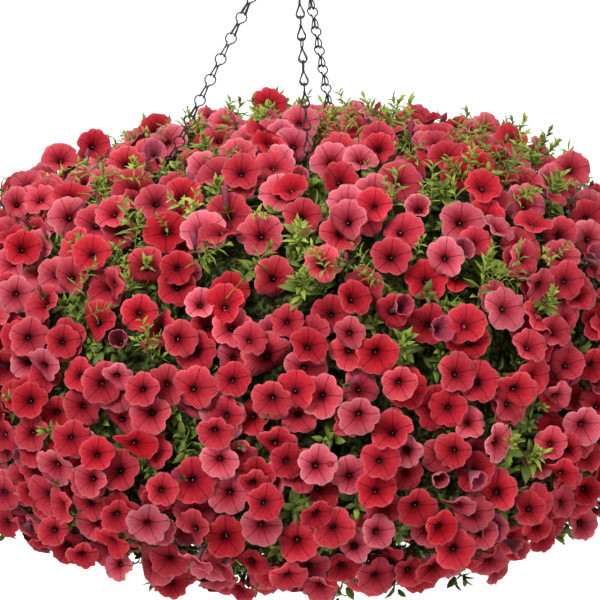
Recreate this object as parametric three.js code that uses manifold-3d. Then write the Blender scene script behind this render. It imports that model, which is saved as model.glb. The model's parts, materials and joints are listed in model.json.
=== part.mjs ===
// A petunia hanging basket: seven petunia plants in a coir-lined wire basket on three wire-link chains.
// Millimetres, +Z up. The origin is the underside of the hook's crook, where the basket hangs.
import * as THREE from 'three';
import Module from 'manifold-3d';
import { mergeVertices } from 'three/addons/utils/BufferGeometryUtils.js';

const solids = await Module();
solids.setup();

// ---- Driving dimensions ----------------------------------------------------------------------------
const hookWire = 4.0;
const crookRadius = 16;
const eyeZ = -86;
const eyeRadius = 9;

const rimRadius = 203;
const rimWire = 5;
const rimZ = -493;
const ribWire = 3.6;
const ribCount = 7;
const linerWall = 9;
const soilTop = rimZ - 14;

const chainAzimuths = [185, 276.5, 70];
const chainSeats = [0, -5.2, 5.2];
const linksPerChain = 16;
const linkWire = 2.0;
const clipDrop = 22;
const clipWire = 2.4;
const fit = 0.3;
const clipPlay = 1.0;

// The mound swells to its middle. Below that the shoots hang, so it is squarer there and less deep.
const moundRadius = 384;
const moundZ = -598;
const moundHalfHeight = 230;
const moundPower = 2.5;
const hangingHalfHeight = 198;
const hangingPower = 4;
const moundLean = 0.05;
const crownRadius = 118;
const hemRadius = 185;
const chainSlot = 9;
const plantGap = 0.2;
const crumple = 0.07;

const faceEdge = 77;
const rowStep = 62;
const bloomShare = 0.93;
const bloomRadius = 25;
const throatDepth = 9;
const rootRadius = 5;

// The light comes from in front of the basket and from a little above, and the blooms turn to it.
const light = new THREE.Vector3(0, -0.94, 0.34);
const turnToLight = 0.85;

// Blooms on faces turned further from the light than this have plainer rims.
const shadeLimit = 0.86;

// The plants grow a little more closely on the sunny side.
const frontAzimuth = -Math.PI / 2;
const frontCrowding = 0.14;

// ---- Finishes --------------------------------------------------------------------------------------
function finish(color, roughness, metalness) {
  return new THREE.MeshStandardMaterial({ color, roughness, metalness });
}

const wireFinish = finish(0x1c1d1f, 0.45, 0.8);
const coirFinish = finish(0x6b4a2c, 1.0, 0.0);
const soilFinish = finish(0x2a1d14, 1.0, 0.0);
const bloomFinish = finish(0xc4263a, 0.55, 0.0);

const part = new THREE.Group();

function place(name, geometry, material) {
  const mesh = new THREE.Mesh(geometry, material);
  mesh.name = name;
  part.add(mesh);
}

// ---- Joining and cutting ---------------------------------------------------------------------------
function solidOf(geometry) {
  const bare = geometry.clone();
  bare.deleteAttribute('normal');
  bare.deleteAttribute('uv');
  const merged = mergeVertices(bare, 1e-4);
  return new solids.Manifold(new solids.Mesh({
    numProp: 3,
    vertProperties: new Float32Array(merged.attributes.position.array),
    triVerts: new Uint32Array(merged.index.array),
  }));
}

function geometryOf(solid) {
  const mesh = solid.getMesh();
  const geometry = new THREE.BufferGeometry();
  geometry.setAttribute('position', new THREE.BufferAttribute(mesh.vertProperties, 3));
  geometry.setIndex(new THREE.BufferAttribute(mesh.triVerts, 1));
  return geometry;
}

const union = (pieces) => pieces.reduce((whole, piece) => whole.add(piece));

// ---- Wires -----------------------------------------------------------------------------------------
function roundSection(diameter, sides) {
  const corners = [];
  for (let i = 0; i < sides; i += 1) {
    const angle = (2 * Math.PI * (i + 0.5)) / sides;
    corners.push(new THREE.Vector2(Math.cos(angle), Math.sin(angle)).multiplyScalar(diameter / 2));
  }
  return new THREE.Shape(corners);
}

function wireAlong(curve, diameter, sides, steps) {
  const section = roundSection(diameter, sides);
  return new THREE.ExtrudeGeometry(section, { steps, extrudePath: curve, curveSegments: 1 });
}

function ring(radius, diameter, sides, steps, z) {
  const geometry = new THREE.TorusGeometry(radius, diameter / 2, sides, steps);
  geometry.translate(0, 0, z);
  return geometry;
}

// A run or loop of wire whose corners are exactly the points given.
class CorneredWire extends THREE.CatmullRomCurve3 {
  getPointAt(t, target) {
    return this.getPoint(t, target);
  }

  getTangentAt(t, target) {
    return this.getTangent(t, target);
  }
}

// ---- Hook ------------------------------------------------------------------------------------------
function makeHook() {
  const top = hookWire / 2;
  const centre = top - crookRadius;
  const points = [];
  for (let degrees = -35; degrees <= 215; degrees += 25) {
    const angle = THREE.MathUtils.degToRad(degrees);
    points.push(new THREE.Vector3(crookRadius * Math.cos(angle), 0, centre + crookRadius * Math.sin(angle)));
  }
  points.push(new THREE.Vector3(-3.5, 0, centre - crookRadius - 3));
  points.push(new THREE.Vector3(0, 0, centre - crookRadius - 13));
  points.push(new THREE.Vector3(0, 0, eyeZ + eyeRadius));
  const rod = wireAlong(new THREE.CatmullRomCurve3(points), hookWire, 5, 16);
  const eye = new THREE.TorusGeometry(eyeRadius, hookWire / 2, 4, 10);
  eye.rotateY(Math.PI / 2);
  eye.translate(0, 0, eyeZ);
  return geometryOf(solidOf(rod).add(solidOf(eye)));
}

// ---- Chains ----------------------------------------------------------------------------------------
// Where the wire of the first link of a chain sits on the eye, and where the rim carries its clip.
function chainEnds(index) {
  const y = chainSeats[index];
  const drop = Math.sqrt(eyeRadius ** 2 - y ** 2);
  const azimuth = THREE.MathUtils.degToRad(chainAzimuths[index]);
  const seat = new THREE.Vector3(0, y, eyeZ - drop);
  const rim = new THREE.Vector3(rimRadius * Math.cos(azimuth), rimRadius * Math.sin(azimuth), rimZ);
  return { seat, rim, azimuth };
}

// Along the chain, across it in the chain's upright plane, and sideways along the rim.
function chainAxes(index) {
  const { seat, rim, azimuth } = chainEnds(index);
  const along = rim.clone().sub(seat).normalize();
  const side = new THREE.Vector3(-Math.sin(azimuth), Math.cos(azimuth), 0);
  side.addScaledVector(along, -side.dot(along)).normalize();
  const across = new THREE.Vector3().crossVectors(side, along);
  return { seat, rim, along, across, side, length: seat.distanceTo(rim) };
}

// One link: a wide eye, a neck, and a narrower eye at right angles that holds the next link.
const linkOutline = [
  [0, -2.4, 0], [0, 2.4, 0], [5.8, 5.7, 0], [15, 1.3, 1.0], [21.5, 0, 3.9],
  [28.3, 0, 1.7], [28.3, 0, -1.7], [21.5, 0, -3.9], [15, -1.3, -1.0], [5.8, -5.7, 0],
];
const linkReach = 28.3;
const linkBite = 0.8;

// A slack chain twists a little: the front one turns square over its first links, the back one over
// its last.
const twistLinks = 4;
function linkRoll(index, link) {
  const fromTop = Math.max(0, 1 - link / twistLinks);
  const toFoot = Math.min(1, (linksPerChain - 1 - link) / twistLinks);
  return (Math.PI / 2) * [0, fromTop, toFoot][index];
}

function makeChain(index) {
  const { seat, along, across, side, length } = chainAxes(index);
  const start = hookWire / 2 + fit + linkWire / 2;
  const pitch = (length - clipDrop - linkBite + start) / linksPerChain;
  const stretch = (pitch + linkBite) / linkReach;
  const links = [];
  for (let link = 0; link < linksPerChain; link += 1) {
    const roll = linkRoll(index, link);
    const wide = across.clone().multiplyScalar(Math.cos(roll)).addScaledVector(side, Math.sin(roll));
    const flat = side.clone().multiplyScalar(Math.cos(roll)).addScaledVector(across, -Math.sin(roll));
    const points = linkOutline.map(([u, v, w]) => seat.clone()
      .addScaledVector(along, link * pitch - start + u * stretch)
      .addScaledVector(wide, v)
      .addScaledVector(flat, w));
    const curve = new CorneredWire(points, true);
    links.push(solidOf(new THREE.TubeGeometry(curve, points.length, linkWire / 2, 3, true)));
  }
  return geometryOf(union(links));
}

function makeClip(index) {
  const { seat, along, across, length } = chainAxes(index);
  const low = length;
  const high = length - clipDrop;
  const lift = linkWire / 2 + clipWire / 2 + fit;
  const under = rimWire / 2 + clipWire / 2 + clipPlay;
  const outline = [
    [high + 5, 3.6], [high + 1, 3.6], [high - lift, 0], [high + 1, -3.6], [high + 7, -2.4],
    [low - 7, 3.0], [low, under], [low + under, 0], [low, -under], [low - 4, -under - 0.6],
  ];
  const points = outline.map(([u, v]) => seat.clone().addScaledVector(along, u).addScaledVector(across, v));
  return wireAlong(new THREE.CatmullRomCurve3(points), clipWire, 4, 11);
}

// ---- Basket, liner and soil ------------------------------------------------------------------------
// The bowl, as radius and depth below the rim, measured on the middle of the ribs. Every second corner
// of the liner lies on a rib.
const bowl = [[203, 0], [198, -48], [180, -98], [146, -146], [100, -178], [52, -190]];
const bowlSides = 2 * ribCount;
const linerTop = rimZ - 3;

function turned(profile) {
  const geometry = new THREE.LatheGeometry(profile, bowlSides);
  geometry.rotateX(Math.PI / 2);
  return geometry;
}

// The bowl's profile down to the axis, moved inwards by a distance, with its edge at a given height.
function insetBowl(distance, edgeZ) {
  const points = bowl.map(([r, z]) => new THREE.Vector2(r, rimZ + z));
  const inwards = points.map((p, i) => {
    const next = points[i + 1] ?? new THREE.Vector2(0, p.y);
    return new THREE.Vector2(next.y - p.y, p.x - next.x).normalize();
  });
  const moved = points.map((p, i) => {
    const before = inwards[Math.max(0, i - 1)];
    const mitre = before.clone().add(inwards[i]).divideScalar(1 + before.dot(inwards[i]));
    return p.clone().addScaledVector(mitre, distance);
  });
  const [edge, second] = moved;
  edge.lerp(second, (edge.y - edgeZ) / (edge.y - second.y));
  return [...moved, new THREE.Vector2(0, moved[moved.length - 1].y)];
}

function makeBasket() {
  const hoop = (radius, sides, z) => {
    const geometry = ring(radius, ribWire, 3, sides, z);
    geometry.rotateZ(-Math.PI / 2);
    return geometry;
  };
  const pieces = [ring(rimRadius, rimWire, 4, 24, rimZ), hoop(bowl[2][0], bowlSides, rimZ + bowl[2][1]),
    hoop(bowl[5][0], ribCount, rimZ + bowl[5][1])].map(solidOf);
  for (let rib = 0; rib < ribCount; rib += 1) {
    const azimuth = (2 * Math.PI * rib) / ribCount - Math.PI / 2;
    const [c, s] = [Math.cos(azimuth), Math.sin(azimuth)];
    const points = bowl.map(([r, z]) => new THREE.Vector3(r * c, r * s, rimZ + z));
    pieces.push(solidOf(wireAlong(new CorneredWire(points), ribWire, 3, bowl.length - 1)));
  }
  return geometryOf(union(pieces));
}

function makeLiner() {
  const outer = insetBowl(ribWire / 2 + fit, linerTop);
  const inner = insetBowl(ribWire / 2 + fit + linerWall, linerTop);
  return turned([...outer.reverse(), ...inner]);
}

function makeSoil() {
  const wall = insetBowl(ribWire / 2 + linerWall + 2 * fit, soilTop);
  const body = solidOf(turned([...wall.reverse(), new THREE.Vector2(0, soilTop)]));
  const holes = crowns().map(({ x, y }) => {
    const hole = new THREE.CylinderGeometry(stemRadius + fit, stemRadius + fit, 2 * (stemDepth + fit), 6);
    hole.rotateX(Math.PI / 2);
    hole.translate(x, y, soilTop);
    return solidOf(hole);
  });
  return geometryOf(body.subtract(union(holes)));
}

// ---- Petunia plants --------------------------------------------------------------------------------
// Six plants stand round the rim, parted by the chains, and one stands in the middle. Each is a body
// of packed foliage laid out in rows of triangles. Every outer triangle grows a bloom or a leafy tip.
const stemRadius = 6;
const stemDepth = 30;
const stemRing = 150;
const degrees = THREE.MathUtils.degToRad;
const borders = [
  { azimuth: 185, gap: chainSlot }, { azimuth: 230.75, gap: plantGap }, { azimuth: 276.5, gap: chainSlot },
  { azimuth: 353.25, gap: plantGap }, { azimuth: 430, gap: chainSlot }, { azimuth: 487.5, gap: plantGap },
  { azimuth: 545, gap: chainSlot },
];

function crowns() {
  const places = [{ x: 0, y: 0 }];
  for (let i = 0; i < 6; i += 1) {
    const azimuth = degrees((borders[i].azimuth + borders[i + 1].azimuth) / 2);
    places.push({ x: stemRing * Math.cos(azimuth), y: stemRing * Math.sin(azimuth) });
  }
  return places;
}

let seed = 77;
function draw() {
  seed = (seed * 16807) % 2147483647;
  return seed / 2147483647;
}

// The outer outline of the packed foliage at an angle above the middle of the mound.
function moundPoint(angle) {
  const [halfHeight, power] = angle < 0 ? [hangingHalfHeight, hangingPower] : [moundHalfHeight, moundPower];
  const c = Math.abs(Math.cos(angle)) / moundRadius;
  const s = Math.abs(Math.sin(angle)) / halfHeight;
  const reach = (c ** power + s ** power) ** (-1 / power);
  return new THREE.Vector2(reach * Math.cos(angle), reach * Math.sin(angle));
}

// Rows are closer together round the middle of the mound than on its top and under it.
function rowWeight(angle) {
  return angle > 0.75 ? 0.8 : angle < -0.8 ? 0.72 : 1;
}

function rowOutline() {
  const first = Math.atan2(0.979 * moundHalfHeight, crownRadius);
  const last = -Math.atan2(0.985 * hangingHalfHeight, hemRadius);
  const samples = 600;
  const along = [0];
  const points = [moundPoint(first)];
  for (let i = 1; i <= samples; i += 1) {
    const angle = first + ((last - first) * i) / samples;
    const point = moundPoint(angle);
    along.push(along[i - 1] + point.distanceTo(points[i - 1]) * rowWeight(angle));
    points.push(point);
  }
  const count = Math.round(along[samples] / rowStep);
  const rows = [];
  for (let row = 0, i = 0; row <= count; row += 1) {
    while (i < samples && along[i] < (along[samples] * row) / count) i += 1;
    const angle = first + ((last - first) * i) / samples;
    rows.push({ r: points[i].x, z: moundZ + points[i].y, weight: rowWeight(angle) });
  }
  return rows;
}

const crowding = (azimuth) => azimuth + frontCrowding * Math.sin(azimuth - frontAzimuth);

function uncrowd(target) {
  let azimuth = target;
  for (let i = 0; i < 40; i += 1) {
    azimuth = target - frontCrowding * Math.sin(azimuth - frontAzimuth);
  }
  return azimuth;
}

// The top of the mound leans a little, and its underside hangs level.
function onMound(r, azimuth, z) {
  const x = r * Math.cos(azimuth);
  const share = Math.max(0, z - moundZ) / moundHalfHeight;
  return new THREE.Vector3(x, r * Math.sin(azimuth), z + moundLean * share * x);
}

class Foliage {
  constructor() {
    this.points = [];
    this.faces = [];
  }

  add(point) {
    this.points.push(point);
    return this.points.length - 1;
  }

  // Fills the strip between an upper and a lower row, each a list of point numbers with places 0 to 1.
  strip(upper, lower) {
    const made = [];
    let i = 0;
    let j = 0;
    while (i < upper.length - 1 || j < lower.length - 1) {
      const nextUpper = i < upper.length - 1 ? upper[i + 1].t : 2;
      const nextLower = j < lower.length - 1 ? lower[j + 1].t : 2;
      if (nextUpper < nextLower) {
        made.push([upper[i].id, lower[j].id, upper[i + 1].id]);
        i += 1;
      } else {
        made.push([upper[i].id, lower[j].id, lower[j + 1].id]);
        j += 1;
      }
    }
    return made;
  }

  // Replaces an outer face by six faces round a small root triangle, and returns that root.
  root(face, corners) {
    const ids = corners.map((corner) => this.add(corner));
    for (let i = 0; i < 3; i += 1) {
      const n = (i + 1) % 3;
      this.faces.push([face[i], face[n], ids[n]], [face[i], ids[n], ids[i]]);
    }
    return ids;
  }

  geometry() {
    const geometry = new THREE.BufferGeometry();
    const numbers = this.points.flatMap((point) => point.toArray());
    geometry.setAttribute('position', new THREE.Float32BufferAttribute(numbers, 3));
    geometry.setIndex(this.faces.flat());
    return geometry;
  }
}

// ---- Keeping organs clear of each other ------------------------------------------------------------
const obstacles = [];

function obstacle(a, b, c, face) {
  const box = new THREE.Box3().setFromPoints([a, b, c]);
  return { a, b, c, box, face };
}

function edgeCrosses(from, to, { a, b, c }) {
  if ([a, b, c].some((corner) => corner === from || corner === to)) return false;
  const way = to.clone().sub(from);
  const length = way.length();
  const ray = new THREE.Ray(from, way.divideScalar(length));
  const hit = ray.intersectTriangle(a, b, c, false, new THREE.Vector3());
  return hit !== null && hit.distanceTo(from) <= length;
}

function trianglesCross(s, t) {
  if (!s.box.intersectsBox(t.box)) return false;
  return edgeCrosses(s.a, s.b, t) || edgeCrosses(s.b, s.c, t) || edgeCrosses(s.c, s.a, t)
    || edgeCrosses(t.a, t.b, s) || edgeCrosses(t.b, t.c, s) || edgeCrosses(t.c, t.a, s);
}

// Round each chain the foliage is parted to this distance.
const chainRoom = 8.5;
const chainMarks = [];

function markChains() {
  for (let index = 0; index < 3; index += 1) {
    const { rim, along } = chainAxes(index);
    for (let back = 0; back <= 220; back += 6) chainMarks.push(rim.clone().addScaledVector(along, -back));
  }
}

function meetsChain(organ) {
  const near = new THREE.Vector3();
  return chainMarks.some((mark) => organ.box.distanceToPoint(mark) < chainRoom
    && organ.triangles.some(({ a, b, c }) => (
      new THREE.Triangle(a, b, c).closestPointToPoint(mark, near).distanceTo(mark) < chainRoom)));
}

// True where an organ would pass through itself or through the face that it grows on.
function isTangled({ root, rim, throat }, { base, normal }) {
  if ([...rim, throat].some((p) => p.clone().sub(base).dot(normal) < 1.2)) return true;
  const faces = organFaces(root, rim, throat).map(([a, b, c]) => obstacle(a, b, c));
  return faces.some((s, i) => faces.slice(i + 1).some((t) => trianglesCross(s, t)));
}

function isClear(organ, face) {
  if (meetsChain(organ)) return false;
  for (const other of obstacles) {
    if (other.face === face || !other.box.intersectsBox(organ.box)) continue;
    if (other.triangles.some((t) => organ.triangles.some((s) => trianglesCross(s, t)))) return false;
  }
  return true;
}

const lobes = 5;
const whorlLeaves = 3;
const whorlRadius = 27;
const organGap = 0.5;

function rimPoint(disc, start, angle, reach, lift) {
  const across = new THREE.Vector3().crossVectors(disc.facing, start);
  return disc.centre.clone()
    .addScaledVector(start, reach * Math.cos(angle))
    .addScaledVector(across, reach * Math.sin(angle))
    .addScaledVector(disc.facing, lift);
}

// A rim of tips parted by notches, each with its share of the radius and its lift.
function starRim(disc, start, count, tip, notch) {
  const points = [];
  for (let i = 0; i < 2 * count; i += 1) {
    const [share, lift] = i % 2 === 0 ? tip : notch;
    points.push(rimPoint(disc, start, (Math.PI * i) / count, disc.radius * share, lift));
  }
  return points;
}

// A bloom is a shallow funnel with five broad lobes; in the shade its rim is drawn plainer.
const lobeTips = (rim) => rim.filter((_, i) => i % 2 === 0);
const rimOf = {
  bloom: (disc, start) => starRim(disc, start, lobes, [1.04, -1.2], [0.9, 0.8]),
  plainBloom: (disc, start) => lobeTips(starRim(disc, start, lobes, [1.06, 0], [0.9, 0])),
  whorl: (disc, start) => starRim(disc, start, whorlLeaves, [1, 3], [0.2, -3]),
};
const throatLift = { bloom: -throatDepth, plainBloom: -throatDepth, whorl: 1 };

// An organ's shape on a face: its root triangle, its rim and its throat.
function shapeOrgan(kind, root, disc) {
  const start = root[0].clone().sub(disc.base);
  start.addScaledVector(disc.facing, -start.dot(disc.facing)).normalize();
  const rim = rimOf[kind](disc, start);
  return { root, rim, throat: disc.centre.clone().addScaledVector(disc.facing, throatLift[kind]) };
}

// The faces between a root and a rim, and between the rim and the throat, as triples of corners.
function organFaces(root, rim, throat) {
  const faces = [];
  const count = rim.length;
  for (let i = 0, j = 0; i < 3 || j < count;) {
    if (j >= count || (i < 3 && (i + 1) / 3 < (j + 1) / count)) {
      faces.push([root[i % 3], root[(i + 1) % 3], rim[j % count]]);
      i += 1;
    } else {
      faces.push([root[i % 3], rim[(j + 1) % count], rim[j % count]]);
      j += 1;
    }
  }
  for (let k = 0; k < count; k += 1) faces.push([rim[k], rim[(k + 1) % count], throat]);
  return faces;
}

// The organ as it would stand, swollen a little so that neighbours keep a small gap.
function swollen({ root, rim, throat }, disc) {
  const grown = rim.map((p) => p.clone().sub(disc.centre).multiplyScalar(1.02).add(disc.centre));
  const triangles = [-organGap, organGap].flatMap((shift) => {
    const move = (p) => p.clone().addScaledVector(disc.facing, shift);
    const lifted = root.map((p) => p.clone().addScaledVector(disc.normal, 2));
    return organFaces(lifted, grown.map(move), move(throat)).map(([a, b, c]) => obstacle(a, b, c));
  });
  const box = new THREE.Box3();
  triangles.forEach((t) => box.union(t.box));
  return { triangles, box };
}

const attempts = 36;

// Tries places for an organ on a face, leaning less at each try.
function seatOrgan(kind, face, radius) {
  const { base, normal, root } = face;
  const spin = 2 * Math.PI * draw();
  const lean = 0.3 * draw();
  const lift = 4 * draw();
  const sunny = Math.min(1, Math.max(0, normal.dot(light) + 0.5));
  for (let attempt = 0; attempt < attempts; attempt += 1) {
    const angle = spin + 2.4 * attempt;
    const sway = new THREE.Vector3(Math.cos(angle), Math.sin(angle), 0.6 * Math.sin(3 * angle));
    sway.addScaledVector(normal, -sway.dot(normal));
    const turn = turnToLight * sunny * (1 - 0.03 * attempt);
    const facing = normal.clone().addScaledVector(light, turn).addScaledVector(sway, lean).normalize();
    const tilt = Math.sqrt(Math.max(0, 1 - facing.dot(normal) ** 2));
    const height = 7 + radius * tilt + lift + 5 * (attempt % 4);
    const centre = base.clone().addScaledVector(normal, height).addScaledVector(sway, 3 + (attempt % 5) * 2);
    const disc = { base, normal, centre, facing, radius };
    const shape = shapeOrgan(kind, root, disc);
    const body = swollen(shape, disc);
    if (!isTangled(shape, face) && isClear(body, face)) return { shape, body };
  }
  return null;
}

function growOn(foliage, face) {
  const wanted = draw() < face.bloomShare ? (face.shaded ? 'plainBloom' : 'bloom') : 'whorl';
  const size = 0.88 + 0.2 * draw();
  const organ = face.narrow ? null
    : seatOrgan(wanted, face, size * (wanted === 'whorl' ? whorlRadius : bloomRadius));
  if (!organ) {
    foliage.faces.push(face.ids);
    return;
  }
  obstacles.push({ ...organ.body, face });
  const root = foliage.root(face.ids, face.root);
  const rim = organ.shape.rim.map((p) => foliage.add(p));
  foliage.faces.push(...organFaces(root, rim, foliage.add(organ.shape.throat)));
}

// The top of the mound, where the shoots are youngest, is leafier.
const topBloomShare = 0.84;
function bloomShareAt(z) {
  return z > moundZ + 190 ? topBloomShare : bloomShare;
}

// Describes an outer face: where its organ is rooted and how that stands to the light.
function outerFace(foliage, ids) {
  const [a, b, c] = ids.map((id) => foliage.points[id]);
  const cross = new THREE.Vector3().crossVectors(b.clone().sub(a), c.clone().sub(a));
  const longest = Math.max(a.distanceTo(b), b.distanceTo(c), c.distanceTo(a));
  const base = a.clone().add(b).add(c).divideScalar(3);
  const towards = (p) => p.clone().sub(base).normalize();
  const root = [a, b, c].map((p) => base.clone().addScaledVector(towards(p), rootRadius));
  const normal = cross.clone().normalize();
  const box = new THREE.Box3().setFromPoints([a, b, c]);
  const face = { ids, base, normal, root, narrow: cross.length() / longest < 3.4 * rootRadius };
  face.shaded = normal.dot(light) < shadeLimit;
  face.bloomShare = bloomShareAt(base.z);
  obstacles.push({ triangles: [obstacle(a, b, c)], box, face });
  return face;
}

// Inside, the foliage of a plant leaves room for the basket and bears on nothing but its crown.
const underside = [
  [168, -296], [142, -216], [170, -152], [210, -92], [221, -24], [219, 14], [186, 14], [crownRadius, 8],
];
const undersideEdge = 85;
const collarEdge = 45;

// A chain is given room where the foliage is above the rim and near it, and the plants close up elsewhere.
const slotReach = 262;

function gapAt(border, r, z) {
  return z > rimZ && r < slotReach ? border.gap : plantGap;
}

function plantRow(foliage, from, to, r, z, edge, staggered, lean) {
  const start = degrees(from.azimuth) + Math.asin(gapAt(from, r, z) / r);
  const end = degrees(to.azimuth) - Math.asin(gapAt(to, r, z) / r);
  const span = crowding(end) - crowding(start);
  const cells = Math.max(1, Math.round((r * span) / edge));
  const places = [0];
  for (let i = 0; i < cells; i += 1) {
    if (staggered) places.push((i + 0.5) / cells);
    else if (i > 0) places.push(i / cells);
  }
  places.push(1);
  return places.map((t) => {
    const azimuth = uncrowd(crowding(start) + span * t);
    const inside = t > 0 && t < 1 && lean && !(z > rimZ && r < crownRadius + 1);
    const puff = inside ? 1 + crumple * (draw() - 0.5) : 1;
    const point = lean ? onMound(r * puff, azimuth, moundZ + (z - moundZ) * puff)
      : new THREE.Vector3(r * Math.cos(azimuth), r * Math.sin(azimuth), z);
    return { t, id: foliage.add(point) };
  });
}

function capFaces(foliage, rows, pick, flip) {
  const ids = rows.map((row) => pick(row).id);
  const flat = ids.map((id) => {
    const p = foliage.points[id];
    return new THREE.Vector2(Math.hypot(p.x, p.y), p.z);
  });
  return THREE.ShapeUtils.triangulateShape(flat, []).map((face) => {
    const [a, b, c] = face.map((k) => flat[k]);
    const turn = (b.x - a.x) * (c.y - a.y) - (b.y - a.y) * (c.x - a.x);
    const [p, q, s] = face.map((k) => ids[k]);
    return turn > 0 === flip ? [p, s, q] : [p, q, s];
  });
}

// The packed foliage of a plant that stands between two borders, before anything grows on it.
function outerFoliage(from, to) {
  const foliage = new Foliage();
  const rows = rowOutline().map(({ r, z, weight }, row) => (
    plantRow(foliage, from, to, r, z, row === 0 ? collarEdge : faceEdge / weight, row % 2 === 1, true)));
  const inner = underside.map(([r, z]) => (
    plantRow(foliage, from, to, r, rimZ + z, r === crownRadius ? collarEdge : undersideEdge, false, false)));
  const loop = [...rows, ...inner];
  const grown = [];
  loop.forEach((row, k) => {
    const faces = foliage.strip(row, loop[(k + 1) % loop.length]);
    if (k + 1 < rows.length) grown.push(...faces.map((ids) => outerFace(foliage, ids)));
    else foliage.faces.push(...faces);
  });
  const slotted = rows.filter((_, k) => rowOutline()[k].r < slotReach && rowOutline()[k].z > rimZ).length;
  const shoulder = rows.length + underside.findIndex(([, z]) => z > 0);
  const caps = [[...loop.slice(0, slotted), ...loop.slice(shoulder)], loop.slice(slotted - 1, shoulder + 1)];
  caps.forEach((cap) => {
    foliage.faces.push(...capFaces(foliage, cap, (row) => row[0], false));
    foliage.faces.push(...capFaces(foliage, cap, (row) => row[row.length - 1], true));
  });
  return { foliage, grown };
}

const centreRadius = 109;

function centreFoliage() {
  const foliage = new Foliage();
  const height = (r) => moundZ + moundHalfHeight * (1 - (r / moundRadius) ** moundPower) ** (1 / moundPower);
  const ringRow = (r, z, cells, turn) => {
    const row = [];
    for (let i = 0; i < cells; i += 1) {
      row.push({ t: i / cells, id: foliage.add(onMound(r, (2 * Math.PI * (i + turn)) / cells, z)) });
    }
    row.push({ t: 1, id: row[0].id });
    return row;
  };
  const pole = (z) => [{ t: 0, id: foliage.add(new THREE.Vector3(0, 0, z)) }];
  const middle = ringRow(60, height(60), 6, 0);
  const edge = ringRow(centreRadius, height(centreRadius), 9, 0.5);
  const rows = [pole(height(0)), middle, edge];
  const foot = ringRow(centreRadius, rimZ + 10, 9, 0.5);
  const grown = [0, 1].flatMap((row) => foliage.strip(rows[row], rows[row + 1]))
    .map((ids) => outerFace(foliage, ids));
  foliage.faces.push(...foliage.strip(rows[2], foot), ...foliage.strip(foot, pole(rimZ + 8)));
  return { foliage, grown };
}

function withCrown(geometry, { x, y }) {
  const top = rimZ + 40;
  const length = top - (soilTop - stemDepth);
  const stem = new THREE.CylinderGeometry(stemRadius, stemRadius, length, 6);
  stem.rotateX(Math.PI / 2);
  stem.translate(x, y, top - length / 2);
  return geometryOf(solidOf(geometry).add(solidOf(stem)));
}

// ---- The whole basket ------------------------------------------------------------------------------
place('hook', makeHook(), wireFinish);
['left', 'front', 'back'].forEach((side, index) => {
  place(`chain_${side}`, makeChain(index), wireFinish);
  place(`rim_clip_${side}`, makeClip(index), wireFinish);
});
place('wire_basket', makeBasket(), wireFinish);
place('coir_liner', makeLiner(), coirFinish);
place('soil', makeSoil(), soilFinish);

markChains();
const plants = [centreFoliage()];
for (let index = 0; index < 6; index += 1) plants.push(outerFoliage(borders[index], borders[index + 1]));
plants.forEach(({ foliage, grown }) => grown.forEach((face) => growOn(foliage, face)));
plants.forEach(({ foliage }, index) => {
  const name = index === 0 ? 'petunia_centre' : `petunia_${index}`;
  place(name, withCrown(foliage.geometry(), crowns()[index]), bloomFinish);
});

export default part;
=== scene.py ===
# A petunia hanging basket: seven petunias in a coir-lined wire basket, on three wire-link chains and a hook.
# Metres, +Z up. The origin is the underside of the hook's crook.
import json
import math
from random import Random

import bmesh
import bpy
import numpy as np
from mathutils import Matrix, Vector, noise

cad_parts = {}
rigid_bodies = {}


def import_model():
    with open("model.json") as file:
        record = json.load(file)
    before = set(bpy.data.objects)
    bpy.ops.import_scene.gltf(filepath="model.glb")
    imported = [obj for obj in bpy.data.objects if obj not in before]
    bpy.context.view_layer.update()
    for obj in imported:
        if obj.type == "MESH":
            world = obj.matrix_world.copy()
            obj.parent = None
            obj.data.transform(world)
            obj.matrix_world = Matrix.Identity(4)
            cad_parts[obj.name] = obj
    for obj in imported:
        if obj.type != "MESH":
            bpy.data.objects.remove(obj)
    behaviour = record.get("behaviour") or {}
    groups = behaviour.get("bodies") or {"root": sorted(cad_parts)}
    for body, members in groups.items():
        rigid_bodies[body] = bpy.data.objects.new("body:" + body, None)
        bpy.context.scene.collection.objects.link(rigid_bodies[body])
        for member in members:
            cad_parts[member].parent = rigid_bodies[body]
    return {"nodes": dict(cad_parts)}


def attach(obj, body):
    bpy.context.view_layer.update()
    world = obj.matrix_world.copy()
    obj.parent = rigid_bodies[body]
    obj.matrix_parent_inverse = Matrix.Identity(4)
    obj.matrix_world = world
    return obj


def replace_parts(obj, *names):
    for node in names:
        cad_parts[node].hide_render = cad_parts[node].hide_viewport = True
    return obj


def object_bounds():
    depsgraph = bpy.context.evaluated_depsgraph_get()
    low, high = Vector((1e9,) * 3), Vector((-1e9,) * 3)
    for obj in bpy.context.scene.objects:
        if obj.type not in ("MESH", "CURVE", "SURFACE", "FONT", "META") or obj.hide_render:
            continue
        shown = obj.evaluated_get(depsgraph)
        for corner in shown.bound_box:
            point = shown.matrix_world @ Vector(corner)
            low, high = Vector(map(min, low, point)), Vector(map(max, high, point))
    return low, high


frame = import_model()
cad_low, cad_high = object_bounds()

# ---- Studio ----
# A white paper sweep behind and below the hanging basket, with a large soft light to the front left,
# a fill to the right and one overhead. The camera looks down a little from in front.
CAMERA_DIP = 12.0
LIT_SPOT = Vector((0.0, 0.0, -0.6))
SHEET_REACH = 4.0
SHEET_RISE = 7.0
SHEET_FOLD = 2.0
scene_objects = bpy.context.scene.collection.objects
camera = bpy.data.objects.new("camera", bpy.data.cameras.new("camera"))
scene_objects.link(camera)
camera.data.sensor_width = 36.0
camera.data.lens = 136.36
camera.data.clip_end = 60.0
camera.location = (0.00618, -2.6357, 0.01028)
camera.rotation_euler = (math.radians(90 - CAMERA_DIP), 0.0, 0.0)
bpy.context.scene.camera = camera
bpy.context.scene.view_settings.view_transform = "Standard"


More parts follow.
